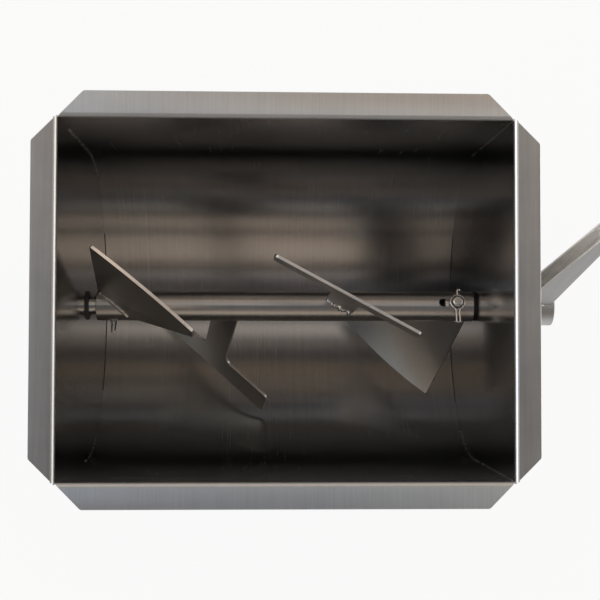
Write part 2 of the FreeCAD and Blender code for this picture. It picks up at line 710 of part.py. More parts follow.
def draw_clip(sketch):
    # Middle line of the wire: a hook and its stem, a bow round the pin and a closed loop
    bow = size("clip_bow")
    blend = size("clip_bow_blend")
    loop = size("clip_loop")
    stem_blend = size("clip_stem_blend")
    hook = size("clip_hook")
    stem_top = size("clip_stem")
    loop_end = -size("clip_loop_reach")
    stem_foot = math.sqrt((bow + stem_blend) ** 2 - stem_blend ** 2)
    loop_start = math.sqrt((bow + blend) ** 2 - (loop + blend) ** 2)
    stem_angle = math.atan2(stem_foot, stem_blend)
    loop_angle = math.atan2(loop_start, loop + blend)

    def arc(x, y, radius, first, last, formula):
        circle = Part.Circle(FreeCAD.Vector(x, y, 0), FreeCAD.Vector(0, 0, 1), radius)
        index = sketch.addGeometry(Part.ArcOfCircle(circle, first, last), False)
        bind = sketch.addConstraint(Sketcher.Constraint("Radius", index, radius))
        sketch.setExpression("Constraints[%d]" % bind, bound(formula))
        return index

    def line(x, start, finish):
        ends = FreeCAD.Vector(x, start, 0), FreeCAD.Vector(x, finish, 0)
        index = sketch.addGeometry(Part.LineSegment(*ends), False)
        sketch.addConstraint(Sketcher.Constraint("Vertical", index))
        return index

    curl = arc(hook, stem_top, hook, 0, math.pi, "clip_hook")
    stem = line(0, stem_top, stem_foot)
    stem_corner = arc(-stem_blend, stem_foot, stem_blend, -stem_angle, 0, "clip_stem_blend")
    left_bow = arc(0, 0, bow, math.pi - stem_angle, math.pi + loop_angle, "clip_bow")
    left_corner = arc(-loop - blend, -loop_start, blend, 0, loop_angle, "clip_bow_blend")
    left_leg = line(-loop, -loop_start, loop_end)
    tip = arc(0, loop_end, loop, math.pi, 2 * math.pi, "clip_loop")
    right_leg = line(loop, loop_end, -loop_start)
    right_corner = arc(loop + blend, -loop_start, blend, math.pi - loop_angle, math.pi, "clip_bow_blend")
    right_bow = arc(0, 0, bow, -loop_angle, math.pi / 3, "clip_bow")
    for first, first_end, second, second_end in (
            (curl, 2, stem, 1), (stem, 2, stem_corner, 2), (stem_corner, 1, left_bow, 1),
            (left_bow, 2, left_corner, 2), (left_corner, 1, left_leg, 1), (left_leg, 2, tip, 1),
            (tip, 2, right_leg, 1), (right_leg, 2, right_corner, 2), (right_corner, 1, right_bow, 1)):
        sketch.addConstraint(Sketcher.Constraint("Tangent", first, first_end, second, second_end))
    sketch.addConstraint(Sketcher.Constraint("Coincident", left_bow, 3, -1, 1))
    sketch.addConstraint(Sketcher.Constraint("Coincident", right_bow, 3, -1, 1))
    fix_point(sketch, stem, 1, "0", "clip_stem")
    fix_point(sketch, tip, 3, "0", "-clip_loop_reach")
    fix_point(sketch, right_bow, 2, "clip_bow / 2", None)
    fix_point(sketch, curl, 1, None, "clip_stem")


def build_clip(name):
    body = new_body(name)
    path = new_sketch(body, name + "_path", "XY_Plane", "clip_level")
    draw_clip(path)
    ring = new_sketch(body, name + "_wire", "XZ_Plane", "-clip_stem")
    draw_circle(ring, "clip_hook * 2", "clip_level", "wire_radius")
    doc.recompute()
    wire = body.newObject("PartDesign::AdditivePipe", name + "_bent")
    wire.Profile = ring
    wire.Spine = path
    doc.recompute()
    return body


for name, place_x, angle in (("left", "-pin_left", "pin_angle_left"), ("right", "pin_right", "pin_angle_right")):
    turn = about_shaft(angle)
    pin = new_body("lock_pin_" + name)
    section = new_sketch(pin, "pin_section_" + name, "XZ_Plane")
    draw_outline(section, [
        ("0", "-tube_inside + axial_gap"),
        ("pin_radius - edge_break", "-tube_inside + axial_gap"),
        ("pin_radius", "-tube_inside + axial_gap + edge_break"),
        ("pin_radius", "pin_head_level"),
        ("pin_head_radius", "pin_head_level"),
        ("pin_head_radius", "pin_head_level + pin_head_height"),
        ("0", "pin_head_level + pin_head_height")])
    revolve(pin, section, "V_Axis")

    def head_rim(edge, middle):
        top_edge = near(edge.BoundBox.ZMin, size("pin_head_level + pin_head_height"))
        return top_edge and near(edge.BoundBox.XLength, size("pin_head_radius * 2"))

    dress(pin, "Fillet", "pin_dome_" + name, head_rim, "pin_head_height * 0.8")
    place(pin, place_x, turn=turn)
    turned("pin_washer_" + name, [
        ("pin_radius + pin_play", "tube_radius"), ("pin_radius + pin_play", "pin_seat"),
        ("pin_washer_radius", "pin_seat"), ("pin_washer_radius", "tube_radius")],
        place_x, turn=turn, axis="V_Axis")
    clip_turn = turn if name == "right" else turn.multiply(half_turn)
    place(build_clip("spring_clip_" + name), place_x, turn=clip_turn)

# Paddles: flat plates set askew on the tube and coped to it


def paddle_turn(angle, skew, lean):
    across = FreeCAD.Rotation(FreeCAD.Vector(0, 0, 1), -size(skew))
    along = FreeCAD.Rotation(FreeCAD.Vector(0, 1, 0), size(lean))
    return about_shaft(angle).multiply(across).multiply(along)


def cope(name, plate, place_x, angle, skew, lean):
    # Sets the plate on the shaft and cuts away what would lie inside the tube
    plate.Placement.Rotation = paddle_turn(angle, skew, lean)
    plate.setExpression("Placement.Base.x", bound(place_x))
    core = doc.addObject("Part::Cylinder", name + "_tube")
    core.setExpression("Radius", bound("tube_radius"))
    core.setExpression("Height", bound("inner_length * 2"))
    core.Placement.Rotation = FreeCAD.Rotation(FreeCAD.Vector(0, 1, 0), 90)
    core.setExpression("Placement.Base.x", bound("-inner_length"))
    paddle = doc.addObject("Part::Cut", name)
    paddle.Base = plate
    paddle.Tool = core
    paddle.Label = name
    place(paddle)


def build_end_paddle(name, mirror, which):
    # Scraper plate: its outer edge follows the round of the tank as the shaft turns
    side = "-" if mirror else ""
    plate = new_body(name + "_plate")
    face = new_sketch(plate, name + "_face", "XZ_Plane")
    skew = which + "_skew"
    height = "sqrt(end_sweep ^ 2 - (%s * sin(" + skew + ")) ^ 2)"
    near_top = height % "end_near"
    far_top = height % "end_far"
    draw_outline(face, [
        (side + "(-end_root_near)", "paddle_root"),
        (side + "(-end_near)", near_top),
        (side + "(end_far)", far_top),
        (side + "(end_far)", far_top + " - end_tip"),
        (side + "(end_root_far)", "paddle_root")])
    pad(plate, face, "paddle_sheet", middle=True)
    bow = new_sketch(plate, name + "_bow", "XZ_Plane")
    draw_bow(bow, side, near_top, far_top, "end_sweep / sin(%s) ^ 2" % skew)
    pad(plate, bow, "paddle_sheet", middle=True)

    def outer_corner(edge, middle):
        across = near(abs(edge.tangentAt(edge.FirstParameter).y), 1)
        return across and middle.z > size("end_sweep / 2")

    dress(plate, "Fillet", name + "_corners", outer_corner, "end_corner")
    cope(name, plate, which + "_place", which + "_angle", skew, which + "_lean")


def draw_bow(sketch, side, near_top, far_top, radius):
    # The sliver between the straight outer edge and the arc that bows over it
    start = FreeCAD.Vector(size(side + "(-end_near)"), size(near_top), 0)
    finish = FreeCAD.Vector(size(side + "end_far"), size(far_top), 0)
    bend = size(radius)
    chord = finish - start
    middle = (start + finish) / 2
    normal = FreeCAD.Vector(-chord.y, chord.x, 0).normalize()
    if normal.y < 0:
        normal = -normal
    rise = bend - math.sqrt(bend ** 2 - (chord.Length / 2) ** 2)
    line = sketch.addGeometry(Part.LineSegment(start, finish), False)
    arc = sketch.addGeometry(Part.Arc(start, middle + normal * rise, finish), False)
    fix_point(sketch, line, 1, side + "(-end_near)", near_top)
    fix_point(sketch, line, 2, side + "end_far", far_top)
    starts_there = sketch.getPoint(arc, 1).isEqual(start, 0.001)
    sketch.addConstraint(Sketcher.Constraint("Coincident", arc, 1 if starts_there else 2, line, 1))
    sketch.addConstraint(Sketcher.Constraint("Coincident", arc, 2 if starts_there else 1, line, 2))
    bind = sketch.addConstraint(Sketcher.Constraint("Radius", arc, bend))
    sketch.setExpression("Constraints[%d]" % bind, bound(radius))


def build_middle_paddle(name, which):
    # T-shaped plate: a stem from the tube and a long blade across it
    plate = new_body(name + "_plate")
    face = new_sketch(plate, name + "_face", "XZ_Plane")
    draw_outline(face, [
        ("-tee_stem / 2", "paddle_root"), ("-tee_stem / 2", "tee_height - tee_blade"),
        ("-tee_length / 2", "tee_height - tee_blade"), ("-tee_length / 2", "tee_height"),
        ("tee_length / 2", "tee_height"), ("tee_length / 2", "tee_height - tee_blade"),
        ("tee_stem / 2", "tee_height - tee_blade"), ("tee_stem / 2", "paddle_root")])
    pad(plate, face, "paddle_sheet", middle=True)

    def across_plate(edge):
        return near(abs(edge.tangentAt(edge.FirstParameter).y), 1)

    def stem_corner(edge, middle):
        return (across_plate(edge) and near(abs(middle.x), size("tee_stem / 2"))
                and near(middle.z, size("tee_height - tee_blade")))

    def blade_corner(edge, middle):
        return across_plate(edge) and near(abs(middle.x), size("tee_length / 2"))

    dress(plate, "Fillet", name + "_stem", stem_corner, "tee_fillet")
    dress(plate, "Fillet", name + "_blade", blade_corner, "tee_corner")
    cope(name, plate, which + "_place", which + "_angle", which + "_skew", which + "_lean")


build_end_paddle("end_paddle_left", False, "end_left")
build_end_paddle("end_paddle_right", True, "end_right")
build_middle_paddle("middle_paddle_left", "middle_left")
build_middle_paddle("middle_paddle_right", "middle_right")

# Crank: a bored hub, a folded channel arm and a turning grip on a riveted axle

arm_turn = about_shaft("crank_angle")
hub = new_body("crank_hub")
section = new_sketch(hub, "hub_section", "XZ_Plane")
draw_outline(section, [
    ("shoulder", "journal_radius + fit_clearance"), ("shoulder", "hub_radius - edge_break"),
    ("shoulder + edge_break", "hub_radius"), ("hub_end - edge_break", "hub_radius"),
    ("hub_end", "hub_radius - edge_break"), ("hub_end", "0"),
    ("hub_end - hub_cap + fit_clearance", "0"),
    ("hub_end - hub_cap + fit_clearance", "journal_radius + fit_clearance")])
revolve(hub, section)
plan = new_sketch(hub, "set_screw_hole", "XY_Plane")
draw_circle(plan, "shoulder + set_screw_inset", "0", "set_screw_radius + fit_clearance")
pocket(hub, plan, "hub_radius + 1")
place(hub, turn=arm_turn)

turned("crank_set_screw", [
    ("0", "-journal_radius - axial_gap"), ("set_screw_radius", "-journal_radius - axial_gap"),
    ("set_screw_radius", "-hub_radius + edge_break"), ("set_screw_radius / 2", "-hub_radius + edge_break"),
    ("set_screw_radius / 2", "-hub_radius + edge_break + set_screw_radius / 2"),
    ("0", "-hub_radius + edge_break + set_screw_radius / 2")],
    "shoulder + set_screw_inset", turn=arm_turn, axis="V_Axis")

arm = new_body("crank_arm")
side_view = new_sketch(arm, "arm_side", "XZ_Plane")
web_inside = "channel_sheet / cos(crank_lean)"
draw_outline(side_view, [
    ("web_place + arm_root * tan(crank_lean)", "arm_root"),
    ("tab_face", "bend_level"),
    ("tab_face", "crank_length + channel_width / 2"),
    ("tab_face - channel_sheet", "crank_length + channel_width / 2"),
    ("tab_face - channel_sheet", "bend_level + channel_sheet * 2"),
    ("web_place - channel_depth / cos(crank_lean) + arm_root * tan(crank_lean)", "arm_root")])
pad(arm, side_view, "channel_width", middle=True)
trough = new_sketch(arm, "arm_trough", "XZ_Plane")
draw_outline(trough, [
    ("web_place - %s" % web_inside, "0"),
    ("tab_face - channel_sheet", "bend_level"),
    ("tab_face - channel_sheet", "crank_length + channel_width"),
    ("web_place - channel_depth * 2", "crank_length + channel_width"),
    ("web_place - channel_depth * 2", "0")])
pocket(arm, trough, "channel_width - channel_sheet * 2", middle=True)


def leant(edge):
    tangent = edge.tangentAt(edge.FirstParameter)
    return near(abs(tangent.x), math.sin(math.radians(size("crank_lean")))) and near(tangent.y, 0)


def web_edge(depth, across):
    def test(edge, middle):
        reach = middle.x - size("web_place") - middle.z * math.tan(math.radians(size("crank_lean")))
        return leant(edge) and near(reach, size(depth)) and near(abs(middle.y), size(across))
    return test


dress(arm, "Fillet", "arm_fold_outside", web_edge("0", "channel_width / 2"), "channel_sheet * 1.25")
hub_cope = new_sketch(arm, "arm_cope", "YZ_Plane")
draw_circle(hub_cope, "0", "0", "hub_radius")
pocket(arm, hub_cope)
hole = new_sketch(arm, "grip_hole", "YZ_Plane")
draw_circle(hole, "0", "crank_length", "grip_bolt_radius + fit_clearance")
pocket(arm, hole)


def tab_edge(edge, middle):
    return along_shaft(edge) and near(middle.z, size("crank_length + channel_width / 2"))


dress(arm, "Fillet", "arm_tip", tab_edge, "channel_width / 2.2")
place(arm, turn=arm_turn)


def on_grip_axis(name, corners):
    # A turned piece whose axis is the grip's
    rise = size("crank_length")
    body = turned(name, corners, turn=arm_turn)
    offset = arm_turn.multVec(FreeCAD.Vector(0, 0, rise))
    body.setExpression("Placement.Base.y", bound("-crank_length * sin(crank_angle)"))
    body.setExpression("Placement.Base.z", bound("shaft_height + crank_length * cos(crank_angle)"))
    if not near(offset.z, size("crank_length * cos(crank_angle)")):
        raise RuntimeError("%s is off the arm's line" % name)


on_grip_axis("grip_bolt", [
    ("tab_face - channel_sheet - rivet_height", "0"),
    ("tab_face - channel_sheet - rivet_height", "rivet_radius / 2"),
    ("tab_face - channel_sheet - rivet_height / 2", "rivet_radius"),
    ("tab_face - channel_sheet", "rivet_radius"),
    ("tab_face - channel_sheet", "grip_bolt_radius"),
    ("grip_end - grip_recess", "grip_bolt_radius"),
    ("grip_end - grip_recess + axial_gap", "grip_bolt_radius"),
    ("grip_end - grip_recess + axial_gap", "bolt_head_radius"),
    ("grip_end - edge_break", "bolt_head_radius"),
    ("grip_end", "bolt_head_radius - edge_break * 2"),
    ("grip_end", "0")])
on_grip_axis("grip_washer", [
    ("tab_face", "grip_bolt_radius + fit_clearance"),
    ("tab_face + washer_sheet", "grip_bolt_radius + fit_clearance"),
    ("tab_face + washer_sheet", "grip_washer_radius"),
    ("tab_face", "grip_washer_radius")])

grip = new_body("grip_sleeve")
section = new_sketch(grip, "grip_section", "XZ_Plane")
draw_outline(section, [
    ("grip_start", "grip_bolt_radius + running_clearance"),
    ("grip_start", "grip_neck_radius"),
    ("grip_start + grip_collar", "grip_neck_radius"),
    ("grip_start + grip_swell", "grip_radius"),
    ("grip_end - grip_taper", "grip_radius"),
    ("grip_end", "grip_end_radius"),
    ("grip_end", "bolt_head_radius + axial_gap"),
    ("grip_end - grip_recess", "bolt_head_radius + axial_gap"),
    ("grip_end - grip_recess", "grip_bolt_radius + running_clearance")])
revolve(grip, section)


def grip_shoulder(edge, middle):
    wide = size("grip_neck_radius") - 0.01 <= edge.BoundBox.ZLength / 2
    return wide and near(edge.BoundBox.XLength, 0) and edge.Closed


dress(grip, "Fillet", "grip_rounding", grip_shoulder, "grip_neck_radius / 5")
grip.Placement.Rotation = arm_turn
grip.setExpression("Placement.Base.x", bound("-machine_middle"))
grip.setExpression("Placement.Base.y", bound("-crank_length * sin(crank_angle)"))
grip.setExpression("Placement.Base.z", bound("shaft_height + crank_length * cos(crank_angle)"))
parts.append(grip)

# Checks, then one file for each piece

doc.recompute()
for item in doc.Objects:
    if "Invalid" in item.State or "Error" in item.State:
        raise RuntimeError("%s failed: %s" % (item.Name, item.State))
for piece in parts:
    shape = piece.Shape
    if shape.isNull() or not shape.isValid() or len(shape.Solids) != 1:
        raise RuntimeError("%s isn't one valid solid" % piece.Label)
    shape.exportStep("parts/%s.step" % piece.Label)
    box = shape.BoundBox
    print("%-24s %9.1f mm3  x %7.1f %7.1f  y %7.1f %7.1f  z %7.1f %7.1f" % (
        piece.Label, shape.Volume, box.XMin, box.XMax, box.YMin, box.YMax, box.ZMin, box.ZMax))
print(len(parts), "pieces")
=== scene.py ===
import json
import math
import random

import bmesh
import bpy
from mathutils import Matrix, Vector, noise


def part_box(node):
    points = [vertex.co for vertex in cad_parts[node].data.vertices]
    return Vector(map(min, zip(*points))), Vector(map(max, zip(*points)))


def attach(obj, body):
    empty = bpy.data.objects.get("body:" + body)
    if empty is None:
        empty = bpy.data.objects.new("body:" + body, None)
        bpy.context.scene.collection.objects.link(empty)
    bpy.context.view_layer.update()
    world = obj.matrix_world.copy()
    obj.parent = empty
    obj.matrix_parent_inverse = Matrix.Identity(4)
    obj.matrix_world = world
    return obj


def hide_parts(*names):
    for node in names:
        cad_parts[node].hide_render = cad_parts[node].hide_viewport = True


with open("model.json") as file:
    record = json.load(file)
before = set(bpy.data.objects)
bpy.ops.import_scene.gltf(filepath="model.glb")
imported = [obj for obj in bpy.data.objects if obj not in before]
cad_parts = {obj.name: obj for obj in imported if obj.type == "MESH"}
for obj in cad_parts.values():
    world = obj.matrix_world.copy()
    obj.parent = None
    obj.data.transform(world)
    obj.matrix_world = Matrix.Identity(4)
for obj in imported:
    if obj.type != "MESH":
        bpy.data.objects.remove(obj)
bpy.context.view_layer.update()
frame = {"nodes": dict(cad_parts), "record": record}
print("frame loaded")

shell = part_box("trough_shell")
tankMiddle = (shell[0][0] + shell[1][0]) / 2  # the tank's own middle along the shaft
rimLevel = shell[1][2]

# where the main things are, in metres, as the frame has them
tank = {
    "halfLength": 0.165,
    "radius": 0.131,
    "sheet": 0.0015,
    "shaftLevel": 0.190,
    "rim": rimLevel,
    "tubeRadius": 0.0127,
}


# small shape helpers

def newObject(name, mesh, body):
    piece = bpy.data.objects.new(name, mesh)
    bpy.context.scene.collection.objects.link(piece)
    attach(piece, body)
    return piece


def finishMesh(bm, name, smooth=True):
    bmesh.ops.recalc_face_normals(bm, faces=bm.faces)
    mesh = bpy.data.meshes.new(name)
    bm.to_mesh(mesh)
    bm.free()
    for face in mesh.polygons:
        face.use_smooth = smooth
    return mesh


# shared effects, as node groups

def startGroup(name, inputs, outputs):
    group = bpy.data.node_groups.new(name, "ShaderNodeTree")
    for label, kind, value in inputs:
        socket = group.interface.new_socket(name=label, in_out="INPUT", socket_type=kind)
        if value is not None:
            socket.default_value = value
    for label, kind in outputs:
        group.interface.new_socket(name=label, in_out="OUTPUT", socket_type=kind)
    first = group.nodes.new("NodeGroupInput")
    last = group.nodes.new("NodeGroupOutput")
    return group, first, last


def addNode(tree, kind, **settings):
    node = tree.nodes.new(kind)
    for key, value in settings.items():
        setattr(node, key, value)
    return node


def link(tree, source, target):
    tree.links.new(source, target)


def noiseNode(tree, vector, scale, detail=2.0, roughness=0.5):
    node = addNode(tree, "ShaderNodeTexNoise")
    node.inputs["Scale"].default_value = scale
    node.inputs["Detail"].default_value = detail
    node.inputs["Roughness"].default_value = roughness
    link(tree, vector, node.inputs["Vector"])
    return node


def mathNode(tree, operation, first, second=None):
    node = addNode(tree, "ShaderNodeMath", operation=operation)
    for socket, value in zip(node.inputs, (first, second)):
        if value is None:
            continue
        if isinstance(value, (int, float)):
            socket.default_value = value
        else:
            link(tree, value, socket)
    return node.outputs[0]


grainLook = {
    "fineDetail": 3.0,
    "fineRoughness": 0.65,
    "fineShare": 0.6,
    "wideStretch": 0.28,
    "wideShare": 0.4,
}


def makeGrainGroup():
    # brush lines: long along the grain, fine across it
    group, first, last = startGroup(
        "steelGrain",
        [("Vector", "NodeSocketVector", None), ("Strength", "NodeSocketFloat", 0.5)],
        [("Tone", "NodeSocketFloat"), ("Rough", "NodeSocketFloat"), ("Height", "NodeSocketFloat")])
    place = first.outputs["Vector"]
    fine = noiseNode(group, place, 1.0, grainLook["fineDetail"], grainLook["fineRoughness"])
    stretch = addNode(group, "ShaderNodeMapping")
    stretch.inputs["Scale"].default_value = [grainLook["wideStretch"]] * 3
    link(group, place, stretch.inputs["Vector"])
    wide = noiseNode(group, stretch.outputs[0], 1.0, 2.0, 0.5)
    both = mathNode(group, "ADD", mathNode(group, "MULTIPLY", fine.outputs["Fac"], grainLook["fineShare"]),
                    mathNode(group, "MULTIPLY", wide.outputs["Fac"], grainLook["wideShare"]))
    centred = mathNode(group, "SUBTRACT", both, 0.5)
    scaled = mathNode(group, "MULTIPLY", centred, first.outputs["Strength"])
    link(group, mathNode(group, "ADD", scaled, 1.0), last.inputs["Tone"])
    link(group, scaled, last.inputs["Rough"])
    link(group, both, last.inputs["Height"])
    return group


marksLook = {"cloudScale": 14.0, "cloudShare": 0.75, "speckScale": 90.0, "speckShare": 0.25}


def makeHandlingGroup():
    # soft patches from wiping, polishing and fingers
    group, first, last = startGroup(
        "handlingMarks",
        [("Vector", "NodeSocketVector", None), ("Amount", "NodeSocketFloat", 0.5)],
        [("Tone", "NodeSocketFloat"), ("Rough", "NodeSocketFloat")])
    cloud = noiseNode(group, first.outputs["Vector"], marksLook["cloudScale"], 4.0, 0.55)
    speck = noiseNode(group, first.outputs["Vector"], marksLook["speckScale"], 3.0, 0.6)
    clouds = mathNode(group, "MULTIPLY", cloud.outputs["Fac"], marksLook["cloudShare"])
    specks = mathNode(group, "MULTIPLY", speck.outputs["Fac"], marksLook["speckShare"])
    mixed = mathNode(group, "ADD", clouds, specks)
    centred = mathNode(group, "SUBTRACT", mixed, 0.5)
    scaled = mathNode(group, "MULTIPLY", centred, first.outputs["Amount"])
    link(group, mathNode(group, "ADD", scaled, 1.0), last.inputs["Tone"])
    link(group, scaled, last.inputs["Rough"])
    return group


grainGroup = makeGrainGroup()
handlingGroup = makeHandlingGroup()


def placeGroup(tree, group, vector, value):
    node = addNode(tree, "ShaderNodeGroup", node_tree=group)
    link(tree, vector, node.inputs["Vector"])
    node.inputs[1].default_value = value
    return node


steelRules = {
    "rimStart": 0.006,      # how far below the rim the roughness begins to change to that of the rims
    "rimFull": 0.001,       # how far below the rim it has changed
    "grainRough": 0.25,     # how much the grain and the marks change the roughness
    "marksRough": 0.3,
    "bumpDepth": 0.0002,
    "blurTurn": 0.25,       # turns the blur of a brushed sheet across its lines
}


def steelMaterial(name, look):
    # brushed or polished stainless: look holds colour, roughness and the grain's stretch
    material = bpy.data.materials.new(name)
    material.use_nodes = True
    tree = material.node_tree
    shader = tree.nodes["Principled BSDF"]
    shader.inputs["Metallic"].default_value = 1.0
    place = addNode(tree, "ShaderNodeTexCoord")
    along = addNode(tree, "ShaderNodeMapping")
    along.inputs["Scale"].default_value = look["stretch"]
    source = place.outputs["Object"]
    if "turn" in look:
        turned = addNode(tree, "ShaderNodeVectorRotate", rotation_type="EULER_XYZ")
        turned.inputs["Rotation"].default_value = [math.radians(angle) for angle in look["turn"]]
        link(tree, source, turned.inputs["Vector"])
        source = turned.outputs[0]
    link(tree, source, along.inputs["Vector"])
    grain = placeGroup(tree, grainGroup, along.outputs[0], look["grain"])
    marks = placeGroup(tree, handlingGroup, place.outputs["Object"], look["marks"])
    tone = mathNode(tree, "MULTIPLY", grain.outputs["Tone"], marks.outputs["Tone"])
    colour = addNode(tree, "ShaderNodeMix", data_type="RGBA", blend_type="MULTIPLY")
    colour.inputs["Factor"].default_value = 1.0
    colour.inputs[6].default_value = (*look["colour"], 1.0)
    shade = addNode(tree, "ShaderNodeCombineColor")
    for channel in range(3):
        link(tree, tone, shade.inputs[channel])
    link(tree, shade.outputs[0], colour.inputs[7])
    link(tree, colour.outputs[2], shader.inputs["Base Color"])
    start = look["roughness"]  # a number, or the change towards the rims
    if "rimRoughness" in look:
        height = addNode(tree, "ShaderNodeSeparateXYZ")
        link(tree, place.outputs["Object"], height.inputs[0])
        atRim = addNode(tree, "ShaderNodeMapRange")
        atRim.inputs["From Min"].default_value = tank["rim"] - steelRules["rimStart"]
        atRim.inputs["From Max"].default_value = tank["rim"] - steelRules["rimFull"]
        atRim.inputs["To Min"].default_value = look["roughness"]
        atRim.inputs["To Max"].default_value = look["rimRoughness"]
        link(tree, height.outputs["Z"], atRim.inputs["Value"])
        start = atRim.outputs[0]
    for source, amount in ((grain, steelRules["grainRough"]), (marks, steelRules["marksRough"])):
        start = mathNode(tree, "ADD", start, mathNode(tree, "MULTIPLY", source.outputs["Rough"], amount))
    link(tree, start, shader.inputs["Roughness"])
    bump = addNode(tree, "ShaderNodeBump")
    bump.inputs["Strength"].default_value = look["bump"]
    bump.inputs["Distance"].default_value = steelRules["bumpDepth"]
    link(tree, grain.outputs["Height"], bump.inputs["Height"])
    link(tree, bump.outputs["Normal"], shader.inputs["Normal"])
    if "tangent" in look:
        shader.inputs["Anisotropic"].default_value = look["anisotropy"]
        shader.inputs["Anisotropic Rotation"].default_value = steelRules["blurTurn"]
        tangent = addNode(tree, "ShaderNodeTangent", direction_type="RADIAL", axis=look["tangent"])
        link(tree, tangent.outputs[0], shader.inputs["Tangent"])
    return material


softRules = {"bumpDepth": 0.0003}


def softMaterial(name, look):
    # rubber, nylon and moulded plastic
    material = bpy.data.materials.new(name)
    material.use_nodes = True
    tree = material.node_tree
    shader = tree.nodes["Principled BSDF"]
    shader.inputs["Specular IOR Level"].default_value = look["gloss"]
    place = addNode(tree, "ShaderNodeTexCoord")
    marks = placeGroup(tree, handlingGroup, place.outputs["Object"], look["marks"])
    shade = addNode(tree, "ShaderNodeCombineColor")
    for channel, value in enumerate(look["colour"]):
        link(tree, mathNode(tree, "MULTIPLY", marks.outputs["Tone"], value), shade.inputs[channel])
    link(tree, shade.outputs[0], shader.inputs["Base Color"])
    link(tree, mathNode(tree, "ADD", marks.outputs["Rough"], look["roughness"]), shader.inputs["Roughness"])
    pores = noiseNode(tree, place.outputs["Object"], look["pores"], 2.0)
    bump = addNode(tree, "ShaderNodeBump")
    bump.inputs["Strength"].default_value = look["bump"]
    bump.inputs["Distance"].default_value = softRules["bumpDepth"]
    link(tree, pores.outputs["Fac"], bump.inputs["Height"])
    link(tree, bump.outputs["Normal"], shader.inputs["Normal"])
    return material


steelLooks = {
    # grain of the shell runs round the U, so its lines are thin along the shaft
    "shellSteel": {
        "colour": (0.50, 0.492, 0.482), "roughness": 0.25, "rimRoughness": 0.38,
        "stretch": (2600, 22, 22), "grain": 0.5, "marks": 0.22, "bump": 0.05,
        "tangent": "X", "anisotropy": 0.92},
    "endPlateSteel": {
        "colour": (0.50, 0.492, 0.482), "roughness": 0.16, "rimRoughness": 0.34,
        "stretch": (900, 22, 2200), "grain": 0.35, "marks": 0.35, "bump": 0.05},
    "standSteel": {
        "colour": (0.52, 0.515, 0.505), "roughness": 0.33, "stretch": (900, 20, 2200),
        "grain": 0.5, "marks": 0.35, "bump": 0.10},
    "tubeSteel": {
        "colour": (0.55, 0.54, 0.525), "roughness": 0.31, "stretch": (1500, 60, 60),
        "grain": 0.35, "marks": 0.4, "bump": 0.06},
    "paddleSteel": {
        "colour": (0.50, 0.49, 0.475), "roughness": 0.36, "stretch": (60, 1300, 1300),
        "grain": 0.3, "marks": 0.3, "bump": 0.06},
    "turnedSteel": {
        "colour": (0.66, 0.655, 0.645), "roughness": 0.20, "stretch": (3000, 120, 120),
        "grain": 0.3, "marks": 0.3, "bump": 0.05},
    # the crank's lines run along its slanting arm: turn holds the degrees
    "crankSteel": {
        "colour": (0.40, 0.395, 0.39), "roughness": 0.44, "stretch": (900, 900, 40),
        "grain": 0.4, "marks": 0.4, "bump": 0.05, "turn": (39, -25, 0)},
    # painted light: a near-white, rough copy of the crank's steel, put on the inner faces of its channel to
    # brighten them
    "channelPaintedLight": {
        "colour": (0.97, 0.965, 0.95), "roughness": 0.74, "stretch": (330, 330, 14),
        "grain": 1.2, "marks": 1.2, "bump": 0.05, "turn": (39, -25, 0)},
    "hubSteel": {
        "colour": (0.46, 0.456, 0.45), "roughness": 0.46, "stretch": (2200, 120, 120),
        "grain": 0.4, "marks": 0.35, "bump": 0.08},
    "wireSteel": {
        "colour": (0.68, 0.67, 0.655), "roughness": 0.16, "stretch": (500, 500, 500),
        "grain": 0.2, "marks": 0.2, "bump": 0.03},
    "fastenerSteel": {
        "colour": (0.66, 0.655, 0.645), "roughness": 0.25, "stretch": (900, 900, 900),
        "grain": 0.3, "marks": 0.3, "bump": 0.05},
    # painted highlight: near-white steel on the right end plate's bend strips, and a dimmer copy of it on
    # the left plate's
    "bendPaintedHighlight": {
        "colour": (0.97, 0.96, 0.945), "roughness": 0.36, "stretch": (400, 400, 900),
        "grain": 0.15, "marks": 0.15, "bump": 0.03},
    "bendDimPaintedHighlight": {
        "colour": (0.74, 0.732, 0.72), "roughness": 0.36, "stretch": (400, 400, 900),
        "grain": 0.15, "marks": 0.15, "bump": 0.03},
    "foldSteel": {
        "colour": (0.48, 0.477, 0.47), "roughness": 0.60, "stretch": (400, 400, 900),
        "grain": 0.25, "marks": 0.3, "bump": 0.03},
    "cutSteel": {
        "colour": (0.72, 0.70, 0.675), "roughness": 0.30, "stretch": (500, 500, 1200),
        "grain": 0.5, "marks": 0.4, "bump": 0.10},
    # very dark steel for the tight seam round the bottom corners: the weld's heat tint, with painted shade
    # of the crevice
    "seamTintAndPaintedShade": {
        "colour": (0.16, 0.15, 0.14), "roughness": 0.45, "stretch": (500, 500, 500),
        "grain": 0.5, "marks": 0.5, "bump": 0.05},
    "weldSteel": {
        "colour": (0.66, 0.645, 0.62), "roughness": 0.28, "stretch": (700, 700, 700),
        "grain": 0.6, "marks": 0.5, "bump": 0.2},
}
softLooks = {
    "footRubber": {
        "colour": (0.035, 0.035, 0.037), "roughness": 0.62, "gloss": 0.35,
        "marks": 0.5, "pores": 900, "bump": 0.25},
    "sealRubber": {
        "colour": (0.014, 0.012, 0.010), "roughness": 0.60, "gloss": 0.22,
        "marks": 0.4, "pores": 900, "bump": 0.15},
    "greySeal": {
        "colour": (0.085, 0.082, 0.078), "roughness": 0.55, "gloss": 0.3,
        "marks": 0.4, "pores": 900, "bump": 0.15},
    "bushingNylon": {
        "colour": (0.80, 0.79, 0.75), "roughness": 0.42, "gloss": 0.45,
        "marks": 0.2, "pores": 600, "bump": 0.10},
    "gripPlastic": {
        "colour": (0.028, 0.028, 0.030), "roughness": 0.38, "gloss": 0.5,
        "marks": 0.35, "pores": 1400, "bump": 0.18},
}
materials = {name: steelMaterial(name, look) for name, look in steelLooks.items()}
materials.update({name: softMaterial(name, look) for name, look in softLooks.items()})
print("materials ready")

